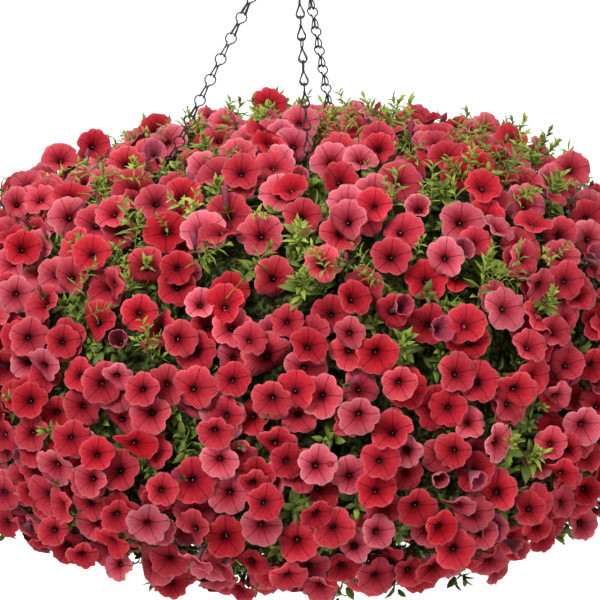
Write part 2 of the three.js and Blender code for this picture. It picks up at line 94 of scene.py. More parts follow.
def new_material(name, roughness, specular):
    material = bpy.data.materials.new(name)
    material.use_nodes = True
    shader = material.node_tree.nodes["Principled BSDF"]
    shader.inputs["Roughness"].default_value = roughness
    shader.inputs["Specular IOR Level"].default_value = specular
    return material, material.node_tree, shader


def add_node(tree, kind, settings=None, **inputs):
    """A node with its settings, and its inputs set to values or linked to outputs. i0 is the first input."""
    node = tree.nodes.new(kind)
    for key, value in (settings or {}).items():
        setattr(node, key, value)
    for key, value in inputs.items():
        socket = node.inputs[int(key[1:]) if key[0] == "i" and key[1:].isdigit() else key.replace("_", " ")]
        if isinstance(value, bpy.types.NodeSocket):
            tree.links.new(value, socket)
        else:
            socket.default_value = value
    return node


def mesh_of(name, shape, smooth=False):
    """Turns a bmesh into a mesh."""
    data = bpy.data.meshes.new(name)
    shape.to_mesh(data)
    shape.free()
    for polygon in data.polygons:
        polygon.use_smooth = smooth
    return data


paper, paper_tree, paper_shader = new_material("white_paper", 0.9, 0.5)
paper_shader.inputs["Base Color"].default_value = (0.9, 0.9, 0.9, 1.0)
paper_shader.inputs["Emission Color"].default_value = (1.0, 1.0, 1.0, 1.0)
paper_shader.inputs["Emission Strength"].default_value = 0.55
# From behind, the sheet is see-through, so that the back of the basket can be looked at too.
behind = add_node(paper_tree, "ShaderNodeNewGeometry").outputs["Backfacing"]
see_through = add_node(paper_tree, "ShaderNodeBsdfTransparent").outputs[0]
one_sided = add_node(paper_tree, "ShaderNodeMixShader", None, i0=behind, i1=paper_shader.outputs[0],
                     i2=see_through)
paper_tree.links.new(one_sided.outputs[0], paper_tree.nodes["Material Output"].inputs["Surface"])

sheet = bmesh.new()
bmesh.ops.create_grid(sheet, x_segments=1, y_segments=1, size=SHEET_REACH)
back_edge = [e for e in sheet.edges if all(v.co.y > SHEET_REACH - 0.1 for v in e.verts)]
raised = bmesh.ops.extrude_edge_only(sheet, edges=back_edge)
bmesh.ops.translate(sheet, verts=[g for g in raised["geom"] if isinstance(g, bmesh.types.BMVert)],
                    vec=(0.0, 0.0, SHEET_RISE))
fold = [e for e in sheet.edges if all(v.co.y > SHEET_REACH - 0.1 and v.co.z < 0.1 for v in e.verts)]
bmesh.ops.bevel(sheet, geom=fold, offset=SHEET_FOLD, offset_type="OFFSET", affect="EDGES", segments=16,
                profile=0.5, material=-1)
bmesh.ops.translate(sheet, verts=sheet.verts, vec=(0.0, 0.6, -2.3))
sweep = bpy.data.objects.new("sweep", mesh_of("sweep", sheet, smooth=True))
sweep.data.materials.append(paper)
scene_objects.link(sweep)

world = bpy.data.worlds.new("studio_air")
world.use_nodes = True
air = world.node_tree.nodes["Background"]
air.inputs["Color"].default_value = (1.0, 1.0, 1.0, 1.0)
air.inputs["Strength"].default_value = 0.23
bpy.context.scene.world = world


def soft_light(name, place, width, height, watts):
    lamp = bpy.data.lights.new(name, "AREA")
    lamp.shape = "RECTANGLE"
    lamp.size = width
    lamp.size_y = height
    lamp.energy = watts
    holder = bpy.data.objects.new(name, lamp)
    holder.location = place
    holder.rotation_euler = (LIT_SPOT - Vector(place)).to_track_quat("-Z", "Y").to_euler()
    scene_objects.link(holder)


soft_light("key", (-1.2, -2.7, 1.3), 1.3, 1.0, 98.0)
soft_light("fill", (2.2, -2.2, 0.3), 1.6, 1.6, 24.0)
soft_light("overhead", (0.2, 0.6, 2.2), 2.4, 2.4, 34.0)

# ---- Hook ----
# One length of steel wire, bent to an open crook at the top and an eye at the foot that gathers the
# three chains. It is dipped in black paint, which is worn to a dull grey in specks.
HOOK_WIRE = 0.0040
CROOK_RADIUS = 0.016
EYE_Z = -0.086
EYE_RADIUS = 0.009


def new_group(name, inputs, outputs):
    group = bpy.data.node_groups.new(name, "ShaderNodeTree")
    for label, kind, value in inputs:
        socket = group.interface.new_socket(label, in_out="INPUT", socket_type=kind)
        socket.default_value = value
    for label, kind in outputs:
        group.interface.new_socket(label, in_out="OUTPUT", socket_type=kind)
    return group, group.nodes.new("NodeGroupInput"), group.nodes.new("NodeGroupOutput")


def math_node(tree, operation, *values):
    inputs = {f"i{i}": value for i, value in enumerate(values)}
    return add_node(tree, "ShaderNodeMath", {"operation": operation}, **inputs).outputs[0]


def fade(tree, value, start, end, low, high):
    """Takes a value from one span to another."""
    mapped = add_node(tree, "ShaderNodeMapRange", None, Value=value, i1=start, i2=end, i3=low, i4=high)
    return mapped.outputs[0]


def speckle_group():
    """Slow and fine unevenness of a surface, as two masks around 0.5."""
    group, given, made = new_group("unevenness", [("Scale", "NodeSocketFloat", 200.0)],
                                   [("Slow", "NodeSocketFloat"), ("Fine", "NodeSocketFloat")])
    place = add_node(group, "ShaderNodeTexCoord").outputs["Object"]
    scale = given.outputs["Scale"]
    slow_scale = math_node(group, "MULTIPLY", scale, 0.12)
    for label, size, detail in (("Slow", slow_scale, 2.0), ("Fine", scale, 4.0)):
        speckle = add_node(group, "ShaderNodeTexNoise", None, Vector=place, Scale=size, Detail=detail)
        group.links.new(speckle.outputs["Fac"], made.inputs[label])
    return group


unevenness = speckle_group()


def ramp(tree, factor, stops):
    node = add_node(tree, "ShaderNodeValToRGB", None, Fac=factor)
    elements = node.color_ramp.elements
    while len(elements) < len(stops):
        elements.new(0.5)
    for element, (position, color) in zip(elements, stops):
        element.position = position
        element.color = (*color, 1.0)
    return node.outputs["Color"]


def uneven(tree, scale):
    node = tree.nodes.new("ShaderNodeGroup")
    node.node_tree = unevenness
    node.inputs["Scale"].default_value = scale
    return node.outputs["Slow"], node.outputs["Fine"]


def surface(tree, shader, color, height, strength, distance):
    """Gives a shader its colour and its relief."""
    relief = add_node(tree, "ShaderNodeBump", None, Height=height, Strength=strength, Distance=distance)
    tree.links.new(color, shader.inputs["Base Color"])
    tree.links.new(relief.outputs[0], shader.inputs["Normal"])


def painted_wire():
    material, tree, shader = new_material("black_painted_wire", 0.42, 0.5)
    slow, fine = uneven(tree, 900.0)
    color = ramp(tree, fine, [(0.35, (0.012, 0.011, 0.011)), (0.62, (0.035, 0.033, 0.032)),
                              (0.78, (0.10, 0.088, 0.08))])
    tree.links.new(fade(tree, slow, 0.3, 0.7, 0.3, 0.55), shader.inputs["Roughness"])
    surface(tree, shader, color, fine, 0.35, 0.0002)
    return material


black_wire = painted_wire()


def bent_wire(name, runs, diameter, steps=6):
    """A piece of bent wire: each run is a list of points and whether it closes on itself."""
    path = bpy.data.curves.new(name, "CURVE")
    path.dimensions = "3D"
    path.resolution_u = steps
    path.bevel_depth = diameter / 2
    path.bevel_resolution = 3
    path.use_fill_caps = True
    for points, closed in runs:
        spline = path.splines.new("BEZIER")
        spline.bezier_points.add(len(points) - 1)
        for knot, point in zip(spline.bezier_points, points):
            knot.co = point
            knot.handle_left_type = knot.handle_right_type = "AUTO"
        spline.use_cyclic_u = closed
    piece = bpy.data.objects.new(name, path)
    piece.data.materials.append(black_wire)
    scene_objects.link(piece)
    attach(piece, "root")
    return piece


def round_points(radius, degrees):
    """Points of a circle: how far each is along its first and its second axis."""
    turns = [math.radians(turn) for turn in degrees]
    return [(radius * math.cos(turn), radius * math.sin(turn)) for turn in turns]


crook_centre = HOOK_WIRE / 2 - CROOK_RADIUS
crook_foot = crook_centre - CROOK_RADIUS
crook = [Vector((out, 0.0, crook_centre + up)) for out, up in round_points(CROOK_RADIUS, range(-35, 216, 25))]
shank = [Vector((-0.0035, 0.0, crook_foot - 0.003)), Vector((0.0, 0.0, crook_foot - 0.013)),
         Vector((0.0, 0.0, EYE_Z + 0.024))]
eye = [Vector((0.0, out, EYE_Z + up)) for up, out in round_points(EYE_RADIUS, range(30, 351, 32))]
hook = bent_wire("hook_wire", [(crook + shank + eye, False)], HOOK_WIRE, 8)
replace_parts(hook, "hook")

# ---- Chains ----
# Three chains of sixteen links. A link is one wire bent to a wide eye, nipped to a neck and closed
# with a doubled narrow eye at right angles, whose cut ends stand out at the neck.
LINK_WIRE = 0.0016
LINKS = 16
RIM_RADIUS = 0.203
RIM_Z = -0.493
CLIP_DROP = 0.022
LINK_BITE = 0.0008
LINK_LAP = 0.00045
FIT = 0.0003
# Each chain's azimuth in degrees, and how far along the hook's eye it sits.
CHAINS = {"left": (185.0, 0.0), "front": (276.5, -0.0052), "back": (70.0, 0.0052)}
# Points along the wire of half a link, in millimetres: down the chain, across the wide eye and at right
# angles. The other half is its mirror image, and they meet at the head of the wide eye.
HALF_LINK = [
    (10.6, 2.9, 1.0), (13.6, 1.7, 1.2), (19.0, 1.7, 2.9), (25.0, 2.2, 4.5), (27.9, 2.3, 2.6),
    (28.3, 2.3, 0.0), (27.9, 2.3, -2.6), (25.0, 2.2, -4.5), (19.0, 1.6, -2.7), (14.2, 0.9, -0.6),
    (12.6, 1.9, 0.0), (10.0, 4.7, 0.0), (5.8, 6.2, 0.0), (1.6, 4.4, 0.0),
]
LINK_SHAPE = [*HALF_LINK, (0.0, 0.0, 0.0), *((u, -v, -w) for u, v, w in reversed(HALF_LINK))]
LINK_REACH = 28.3
PACKED_LINK_RADIUS = 0.001
TWIST_LINKS = 4


def on_ring(radius, azimuth, z):
    return Vector((radius * math.cos(azimuth), radius * math.sin(azimuth), z))


def chain_axes(azimuth_degrees, seat_y):
    """Where a chain sits on the eye, its ways along, across and sideways, and its length to the rim."""
    azimuth = math.radians(azimuth_degrees)
    seat = Vector((0.0, seat_y, EYE_Z - math.sqrt(EYE_RADIUS ** 2 - seat_y ** 2)))
    rim = on_ring(RIM_RADIUS, azimuth, RIM_Z)
    along = (rim - seat).normalized()
    side = Vector((-math.sin(azimuth), math.cos(azimuth), 0.0))
    side = (side - along * side.dot(along)).normalized()
    return seat, along, side.cross(along), side, (rim - seat).length


def link_roll(chain, link):
    """A slack chain twists a little: the front one over its first links, the back one over its last."""
    turned = {"left": 0.0, "front": max(0.0, 1 - link / TWIST_LINKS),
              "back": min(1.0, (LINKS - 1 - link) / TWIST_LINKS)}
    return math.pi / 2 * turned[chain]


for chain, (azimuth, seat_y) in CHAINS.items():
    seat, along, across, side, length = chain_axes(azimuth, seat_y)
    start = HOOK_WIRE / 2 + FIT + PACKED_LINK_RADIUS
    pitch = (length - CLIP_DROP - LINK_BITE + start) / LINKS
    links = []
    shake = Random(len(chain))
    for link in range(LINKS):
        roll = link_roll(chain, link) + shake.uniform(-0.10, 0.10)
        wide = across * math.cos(roll) + side * math.sin(roll)
        flat = side * math.cos(roll) - across * math.sin(roll)
        head = link * pitch - start - (LINK_LAP if link else 0.0)
        foot = (link + 1) * pitch - start + LINK_BITE + (LINK_LAP if link < LINKS - 1 else 0.0)
        points = [seat + along * (head + (foot - head) * u / LINK_REACH) + wide * (v / 1000)
                  + flat * (w / 1000) for u, v, w in LINK_SHAPE]
        links.append((points, False))
    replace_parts(bent_wire(f"chain_{chain}_links", links, LINK_WIRE, 3), f"chain_{chain}")

# ---- Rim clips ----
# A spring-wire clip at the foot of each chain: a small eye that takes the last link, and a crook that
# snaps round the rim wire of the basket.
CLIP_WIRE = 0.0024
RIM_WIRE = 0.005
for chain, (azimuth, seat_y) in CHAINS.items():
    seat, along, across, _, length = chain_axes(azimuth, seat_y)
    high = length - CLIP_DROP
    under = RIM_WIRE / 2 + CLIP_WIRE / 2 + 0.0008
    outline = [(high + 0.005, 0.0036), (high + 0.001, 0.0036), (high - 0.0024, 0.0), (high + 0.001, -0.0036),
               (high + 0.007, -0.0024), (length - 0.007, 0.003), (length, under), (length + under, 0.0),
               (length, -under), (length - 0.004, -under - 0.0006)]
    clip = [seat + along * u + across * v for u, v in outline]
    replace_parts(bent_wire(f"rim_clip_{chain}_wire", [(clip, False)], CLIP_WIRE, 8), f"rim_clip_{chain}")

# ---- Wire basket ----
# A half-round bowl of black steel wire: a thick rim, ribs that run from it to the small base hoop, and
# one hoop round the belly, spot-welded where they cross.
BOWL = [(0.203, 0.0), (0.198, -0.048), (0.180, -0.098), (0.146, -0.146), (0.100, -0.178), (0.052, -0.190)]
RIB_WIRE = 0.0036
RIBS = 7


def round_run(radius, z, count=24):
    return [on_ring(radius, 2 * math.pi * i / count, z) for i in range(count)]


rib_runs = []
for rib in range(RIBS):
    azimuth = 2 * math.pi * rib / RIBS - math.pi / 2
    rib_runs.append(([on_ring(r, azimuth, RIM_Z + z) for r, z in BOWL], False))
rib_runs.append((round_run(BOWL[2][0], RIM_Z + BOWL[2][1]), True))
rib_runs.append((round_run(BOWL[5][0], RIM_Z + BOWL[5][1], 12), True))
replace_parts(bent_wire("basket_ribs", rib_runs, RIB_WIRE, 6), "wire_basket")
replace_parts(bent_wire("basket_rim", [(round_run(RIM_RADIUS, RIM_Z), True)], RIM_WIRE, 6), "wire_basket")

# ---- Coir liner ----
# A pressed bowl of brown coconut fibre and latex, about a finger thick, that bulges a little between
# the ribs. Its fibres show as a fine relief.
LINER_WALL = 0.009
LINER_GAP = 0.0028
LINER_EDGE = -0.004
RIB_BULGE = 0.0026


def blend(tree, mode, factor, first, second):
    mix = add_node(tree, "ShaderNodeMixRGB", {"blend_type": mode}, Fac=factor, Color1=first, Color2=second)
    return mix.outputs[0]


def coir():
    material, tree, shader = new_material("coconut_fibre", 0.95, 0.15)
    place = add_node(tree, "ShaderNodeTexCoord").outputs["Object"]
    swirl = add_node(tree, "ShaderNodeTexNoise", None, Vector=place, Scale=38.0, Detail=2.0)
    bent = blend(tree, "ADD", 0.08, place, swirl.outputs["Color"])
    fibres = add_node(tree, "ShaderNodeTexWave", None, Vector=bent, Scale=95.0, Distortion=14.0, Detail=4.0,
                      Detail_Scale=2.2)
    _, fine = uneven(tree, 420.0)
    mixed = math_node(tree, "MULTIPLY", fibres.outputs["Fac"], fine)
    color = ramp(tree, mixed, [(0.05, (0.035, 0.016, 0.006)), (0.3, (0.15, 0.072, 0.03)),
                               (0.55, (0.33, 0.18, 0.085))])
    surface(tree, shader, color, mixed, 0.9, 0.003)
    return material


def finish_piece(name, shape, materials, node, smooth=True):
    """Turns a bmesh into a piece that rides on the basket and takes the place of its CAD node."""
    piece = bpy.data.objects.new(name, mesh_of(name, shape, smooth))
    for material in materials:
        piece.data.materials.append(material)
    scene_objects.link(piece)
    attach(piece, "root")
    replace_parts(piece, node)
    return piece


def bowl_profile(inset, edge_z):
    """The bowl's profile moved inwards, from a point on the axis up to its edge."""
    points = [Vector((r, z)) for r, z in BOWL]
    inwards = []
    for i, point in enumerate(points):
        following = points[i + 1] if i + 1 < len(points) else Vector((0.0, point.y))
        inwards.append(Vector((following.y - point.y, point.x - following.x)).normalized())
    moved = []
    for i, point in enumerate(points):
        before = inwards[max(0, i - 1)]
        moved.append(point + (before + inwards[i]) * (inset / (1 + before.dot(inwards[i]))))
    share = (moved[0].y - edge_z) / (moved[0].y - moved[1].y)
    moved[0] = moved[0].lerp(moved[1], share)
    return [Vector((0.0, moved[-1].y)), *reversed(moved)]


def turned_shape(profile, steps):
    """Spins a profile of radius and depth below the rim round the axis of the basket."""
    shape = bmesh.new()
    corners = [shape.verts.new((p.x, 0.0, RIM_Z + p.y)) for p in profile]
    edges = [shape.edges.new(pair) for pair in zip(corners, corners[1:])]
    bmesh.ops.spin(shape, geom=[*corners, *edges], cent=(0, 0, 0), axis=(0, 0, 1), angle=2 * math.pi,
                   steps=steps, use_merge=True, use_duplicate=False)
    bmesh.ops.remove_doubles(shape, verts=shape.verts, dist=1e-6)
    bmesh.ops.recalc_face_normals(shape, faces=shape.faces)
    return shape


outside_wall = bowl_profile(LINER_GAP, LINER_EDGE)
inside_wall = bowl_profile(LINER_GAP + LINER_WALL, LINER_EDGE)
liner_shape = turned_shape(outside_wall + inside_wall[::-1], 84)
bmesh.ops.subdivide_edges(liner_shape, cuts=1, use_grid_fill=True,
                          edges=[e for e in liner_shape.edges if e.calc_length() > 0.012])
for vert in liner_shape.verts:
    azimuth = math.atan2(vert.co.y, vert.co.x) + math.pi / 2
    bulge = RIB_BULGE * abs(math.sin(azimuth * RIBS / 2)) ** 0.7 if vert.co.xy.length > 0.06 else 0.0
    lump = 0.0012 * noise.noise(vert.co * 60.0) + 0.0006 * noise.noise(vert.co * 190.0)
    vert.co += vert.normal * (lump - 0.0005) + Vector((vert.co.x, vert.co.y, 0.0)).normalized() * bulge
finish_piece("coir_bowl", liner_shape, [coir()], "coir_liner")

# ---- Soil ----
# Dark peat-free compost that fills the liner to a thumb's width below the rim, lumpy on top. The
# plants stand in it with their crowns just above it.
SOIL_TOP = -0.014
LUMPY_FROM = RIM_Z - 0.02


def compost():
    material, tree, shader = new_material("compost", 1.0, 0.1)
    _, fine = uneven(tree, 260.0)
    color = ramp(tree, fine, [(0.3, (0.006, 0.004, 0.003)), (0.55, (0.028, 0.017, 0.010)),
                              (0.75, (0.09, 0.06, 0.035))])
    surface(tree, shader, color, fine, 1.0, 0.004)
    return material


soil_wall = bowl_profile(LINER_GAP + LINER_WALL + 0.001, SOIL_TOP)
soil_shape = turned_shape([*soil_wall, Vector((0.09, SOIL_TOP)), Vector((0.0, SOIL_TOP))], 48)
bmesh.ops.subdivide_edges(soil_shape, cuts=2, use_grid_fill=True,
                          edges=[e for e in soil_shape.edges if all(v.co.z > LUMPY_FROM for v in e.verts)])
for vert in soil_shape.verts:
    if vert.co.z > LUMPY_FROM and vert.co.xy.length < 0.17:
        vert.co.z += 0.004 * noise.noise(vert.co * 45.0) + 0.002 * noise.noise(vert.co * 140.0)
finish_piece("compost_fill", soil_shape, [compost()], "soil")

# ---- Petunia plants: where everything grows ----
# Seven petunias fill the basket and hide it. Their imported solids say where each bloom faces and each
# leafy tip stands; more blooms are then tucked in below these, wherever there is room for them.
PLANTS = ["petunia_centre", *(f"petunia_{i}" for i in range(1, 7))]
# The mound is a flattened ball with a rather square section.
MOUND_CENTRE = Vector((0.0, 0.0, -0.598))
MOUND_RADIUS = 0.384
MOUND_HALF_HEIGHT = 0.230
MOUND_SQUARENESS = 2.5
OUTER_LAYER = 0.62
# A packed plain bloom has a ring of 5 points, a lobed one 10 and a tip 6. So many of them stand furthest
# out, at this share of the radius.
OUTER_POINTS = {5: 5, 6: 3, 10: 5}
OUTER_SHARE = {5: 1.06, 6: 1.0, 10: 1.04}
ORGAN_REACH = 0.034
ORGAN_SKEW = 0.0008
LIGHT = Vector((0.0, -0.94, 0.34))
UP = Vector((0.0, 0.0, 1.0))


def organs_of(shell):
    """Finds the blooms and the leafy tips of a plant's shell: a hub, and a ring of points round it."""
    blooms, tips, used = [], [], set()
    for hub in shell.verts:
        rim = [edge.other_vert(hub) for edge in hub.link_edges]
        count = len(rim)
        reach = [(v.co - hub.co).length for v in rim]
        if count not in OUTER_POINTS or max(reach) > ORGAN_REACH:
            continue
        far = [v for v, r in zip(rim, reach) if count == 5 or r > np.mean(reach)]
        spread = [(v.co - hub.co).length for v in far]
        if len(far) != OUTER_POINTS[count] or max(spread) - min(spread) > ORGAN_SKEW:
            continue
        centre = sum((v.co for v in far), Vector()) / len(far)
        facing = (centre - hub.co).normalized()
        start = (far[0].co - centre).normalized()
        radius = (far[0].co - centre).length / OUTER_SHARE[count]
        (tips if count == 6 else blooms).append((centre, facing, start, radius))
        used.update([hub, *rim])
    return blooms, tips, used


def bare_shell(plant):
    """A plant's packed shoots without their blooms and tips, and what those were."""
    shell = bmesh.new()
    shell.from_mesh(frame["nodes"][plant].data)
    bmesh.ops.remove_doubles(shell, verts=shell.verts, dist=1e-5)
    blooms, tips, used = organs_of(shell)
    bmesh.ops.delete(shell, geom=list(used), context="VERTS")
    bmesh.ops.holes_fill(shell, edges=[e for e in shell.edges if e.is_boundary], sides=4)
    bmesh.ops.recalc_face_normals(shell, faces=shell.faces)
    return shell, blooms, tips


def outer_faces(shell, least=0.35):
    """The faces of a shell that look out of the mound, at least by this much."""
    found = []
    for face in shell.faces:
        away = face.calc_center_median() - MOUND_CENTRE
        rho = away.xy.length / MOUND_RADIUS
        height = abs(away.z) / MOUND_HALF_HEIGHT
        outward = Vector((away.x, away.y, away.z * 2.6)).normalized()
        layer = rho ** MOUND_SQUARENESS + height ** MOUND_SQUARENESS
        if layer > OUTER_LAYER and face.normal.dot(outward) > least:
            found.append(face)
    return found


def scatter(faces, count, pick):
    """Random places on faces, as many on each as its area calls for."""
    areas = [face.calc_area() for face in faces]
    places = []
    for face in pick.choices(faces, weights=areas, k=count) if faces else []:
        a, b, c = [v.co for v in face.verts][:3]
        u, v = pick.random(), pick.random()
        if u + v > 1:
            u, v = 1 - u, 1 - v
        places.append((a + (b - a) * u + (c - a) * v, face.normal.copy()))
    return places


# What stands where, kept in cells of this size: points of blooms, tips and chains, each with its owner.
CELL = 0.008
taken = {}


def cell_of(point):
    return (math.floor(point.x / CELL), math.floor(point.y / CELL), math.floor(point.z / CELL))


def mark(points, owner):
    for point in points:
        taken.setdefault(cell_of(point), []).append((point, owner))


def touching(point, gap):
    """What stands within a gap of a point: nothing, a part of a plant, or a chain's own space."""
    x, y, z = cell_of(point)
    for near in ((x + i, y + j, z + k) for i in (-1, 0, 1) for j in (-1, 0, 1) for k in (-1, 0, 1)):
        for other, owner in taken.get(near, ()):
            if (other - point).length < gap:
                return owner
    return None


def is_free(points, gap):
    return all(touching(point, gap) is None for point in points)


def crowding(points, gap):
    """How much of a bloom's face is in the way of others. A chain's space counts most."""
    return sum({None: 0, "chain": 6}.get(touching(point, gap), 1) for point in points)


# Rings of points over the face of a bloom: share of the radius, how many, and height.
LIMB_RINGS = [(0.12, 4, -0.0080), (0.4, 8, -0.0022), (0.7, 13, -0.0004), (0.98, 18, 0.0005)]


def limb_points(centre, facing, start, radius):
    side = facing.cross(start)
    points = []
    for share, count, depth in LIMB_RINGS:
        for i in range(count):
            turn = 2 * math.pi * i / count
            way = start * math.cos(turn) + side * math.sin(turn)
            points.append(centre + way * (radius * share) + facing * depth)
    return points


def jitter(pick, amount):
    return Vector([pick.uniform(-amount, amount) for _ in range(3)])


def leaned(bloom, pick, push):
    """A bloom as its plant holds it: tipped and pushed a little, on top of the mound more to the front."""
    centre, facing, start, radius = bloom
    upturned = max(0.0, facing.z - 0.35)
    facing = (facing + Vector((0.0, -1.1 * upturned, 0.0)) + jitter(pick, 0.14)).normalized()
    start = (start - facing * start.dot(facing)).normalized()
    aside = jitter(pick, push)
    aside -= facing * max(0.0, aside.dot(facing))
    return centre + aside, facing, start, radius * pick.uniform(0.87, 0.97)


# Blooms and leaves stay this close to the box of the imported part.
ROOM = 0.020


def within(points):
    return all(cad_low[i] - ROOM < point[i] < cad_high[i] + ROOM for point in points for i in range(3))


# Each chain parts the foliage round it, and stands free at the front down to this share of its length.
CHAIN_CLEARANCE = 0.004
FREE_SHARE = {"left": 0.715, "front": 0.665, "back": 0.60}
CHAIN_MARKS = 90
PARTED_FROM = 0.54
PARTED_MARKS = 65
PARTED_STEP = 0.004
TO_FRONT = Vector((0.04, -0.985, 0.17))
plants = {plant: bare_shell(plant) for plant in PLANTS}
for chain, (azimuth, seat_y) in CHAINS.items():
    seat, along, across, side, length = chain_axes(azimuth, seat_y)
    for step in range(CHAIN_MARKS + 1):
        place = seat + along * (length * step / CHAIN_MARKS)
        mark([place + way * CHAIN_CLEARANCE for way in (across, -across, side, -side)], "chain")
        if PARTED_FROM < step / CHAIN_MARKS < FREE_SHARE[chain]:
            mark([place + TO_FRONT * (PARTED_STEP * i) for i in range(PARTED_MARKS)], "chain")
for _, _, tips in plants.values():
    for tip in tips:
        mark(limb_points(*tip), "tip")

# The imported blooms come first. Of a few ways to hold each, the one that is least in the way is kept.
BLOOM_TRIES = 16
BLOOM_PUSH = 0.0022
PUSH_COST = 0.25
BLOOM_GAP = 0.0024
flowering = {}
for plant, (_, blooms, _) in plants.items():
    pick = Random(500 + PLANTS.index(plant))
    flowering[plant] = []
    for bloom in blooms:
        best = math.inf
        for attempt in range(BLOOM_TRIES):
            way = leaned(bloom, pick, BLOOM_PUSH * attempt)
            crowd = crowding(limb_points(*way), BLOOM_GAP)
            if crowd + PUSH_COST * attempt < best:
                held, best = way, crowd + PUSH_COST * attempt
            if crowd == 0:
                break
        mark(limb_points(*held), plant)
        flowering[plant].append(held)

# Then the tucked ones. Where the mound looks up by this much, and below this height, it is more leaf
# than bloom.
CREST = 0.45
HEM_Z = -0.745
LEAFY_SHARE = 0.8
TUCKED_TRIES = 26
TUCKED_GAP = 0.0036
for plant, (shell, blooms, _) in plants.items():
    pick = Random(300 + PLANTS.index(plant))
    for place, normal in scatter(outer_faces(shell), TUCKED_TRIES * len(blooms) + 30, pick):
        if pick.random() < (LEAFY_SHARE if normal.z > CREST or place.z < HEM_Z else 0.0):
            continue
        sunny = max(0.0, min(1.0, normal.dot(LIGHT) + 0.5))
        facing = (normal + LIGHT * (0.8 * sunny) + jitter(pick, 0.75)).normalized()
        radius = pick.uniform(0.0175, 0.0232)
        tilt = math.sqrt(max(0.0, 1 - facing.dot(normal) ** 2))
        centre = place + normal * (radius * tilt * 0.8 + pick.uniform(0.002, 0.030))
        bloom = (centre, facing, facing.orthogonal().normalized(), radius)
        points = limb_points(*bloom)
        if within(points) and is_free(points, TUCKED_GAP):
            mark(points, plant)
            flowering[plant].append(bloom)

# ---- Petunia leaves ----
# Soft oval leaves with a folded midrib, olive to mid green when grown and lime at the ends of the
# shoots, where young leaves stand in narrow tufts. Between them the shoots are lost in deep shade.
def own_marks(tree):
    """What a leaf or bloom carries: the three tones of its copy, the second of which is a painted light
    level, and its two places on the blade.
    """
    tone = add_node(tree, "ShaderNodeAttribute", {"attribute_name": "tone"}).outputs["Color"]
    spot = add_node(tree, "ShaderNodeUVMap", {"uv_map": "leaf"}).outputs["UV"]
    tones = add_node(tree, "ShaderNodeSeparateColor", None, Color=tone).outputs
    places = add_node(tree, "ShaderNodeSeparateXYZ", None, Vector=spot).outputs
    return tones["Red"], tones["Green"], tones["Blue"], places["X"], places["Y"]


# Multiplies a colour by a level: the way painted light and shade, with some unevenness of tone, reach a leaf
# or a bloom.
def shaded(tree, color, level):
    grey = add_node(tree, "ShaderNodeCombineXYZ", None, X=level, Y=level, Z=level).outputs[0]
    return blend(tree, "MULTIPLY", 1.0, color, grey)


def leaf_green():
    material, tree, shader = new_material("petunia_leaf", 0.5, 0.3)
    age, light, _, across, along = own_marks(tree)
    base = ramp(tree, age, [(0.0, (0.045, 0.066, 0.014)), (0.35, (0.105, 0.152, 0.026)),
                            (0.7, (0.24, 0.31, 0.042)), (1.0, (0.44, 0.49, 0.08))])
    off = math_node(tree, "ABSOLUTE", across)
    midrib = fade(tree, off, 0.0, 0.12, 1.0, 0.0)
    slant = math_node(tree, "MULTIPLY_ADD", off, -0.55, along)
    stripes = math_node(tree, "SINE", math_node(tree, "MULTIPLY", slant, 44.0))
    lines = math_node(tree, "MAXIMUM", midrib, fade(tree, stripes, 0.8, 1.0, 0.0, 0.45))
    paler = blend(tree, "SCREEN", 0.35, base, (0.20, 0.26, 0.06, 1.0))
    veined = blend(tree, "MIX", lines, base, paler)
    slow, fine = uneven(tree, 300.0)
    # The copy's painted light level, times a slow unevenness of tone, brightens or darkens the green.
    level = math_node(tree, "MULTIPLY", fade(tree, slow, 0.3, 0.7, 0.75, 1.2), light)
    relief = math_node(tree, "SUBTRACT", fine, lines)
    surface(tree, shader, shaded(tree, veined, level), relief, 0.4, 0.0006)
    return material


def shadow_green():
    material, tree, shader = new_material("shaded_shoots", 0.9, 0.1)
    _, fine = uneven(tree, 170.0)
    color = ramp(tree, fine, [(0.38, (0.008, 0.011, 0.004)), (0.5, (0.034, 0.046, 0.012)),
                              (0.62, (0.115, 0.150, 0.035))])
    surface(tree, shader, color, fine, 1.0, 0.01)
    return material


def new_shape():
    shape = bmesh.new()
    shape.loops.layers.uv.new("leaf")
    shape.loops.layers.float_color.new("tone")
    return shape


def leaf_blade(shape, root, along, length, width, droop, fold=0.35, segments=3):
    """Adds one leaf: a narrow grid that swells to an oval, folds along its midrib and droops."""
    grid = bmesh.ops.create_grid(shape, x_segments=2, y_segments=segments, size=0.5)
    side = along.cross(UP).normalized()
    lift = side.cross(along).normalized()
    uv = shape.loops.layers.uv["leaf"]
    for vert in grid["verts"]:
        t, s = vert.co.y + 0.5, vert.co.x * 2
        swell = math.sin(math.pi * (0.07 + 0.93 * t) ** 0.85) ** 0.75 if 0.001 < t < 0.999 else (1 - t) * 0.35
        vert.co = (root + along * (length * t) + side * (s * 0.5 * width * swell)
                   + lift * (abs(s) * 0.5 * width * swell * fold - droop * length * t * t))
        for loop in vert.link_loops:
            loop[uv].uv = (s, t)


def as_template(shape, name):
    bmesh.ops.remove_doubles(shape, verts=shape.verts, dist=1e-6)
    return mesh_of(name, shape)


# The turn from one leaf of a shoot to the next.
LEAF_SPIRAL = 2.4


def spread_way(leaf, sway, degrees):
    """The way that a leaf of a shoot points, by its number and its rise."""
    rise = math.radians(degrees)
    return on_ring(math.cos(rise), leaf * LEAF_SPIRAL + sway, math.sin(rise))


def sprig_template(seed):
    """A short shoot that points along +Z, with grown leaves that spiral round it."""
    pick = Random(seed)
    shape = new_shape()
    for i in range(7):
        along = spread_way(i, pick.uniform(-0.4, 0.4), pick.uniform(-5, 35) + 7 * i)
        size = pick.uniform(0.7, 1.1) * (1.0 - 0.05 * i)
        leaf_blade(shape, Vector((0.0, 0.0, -0.010 + 0.004 * i)) + along * 0.003, along, 0.028 * size,
                   0.0145 * size, pick.uniform(0.1, 0.5))
    return as_template(shape, f"sprig_{seed}")


STEM = 0.0007


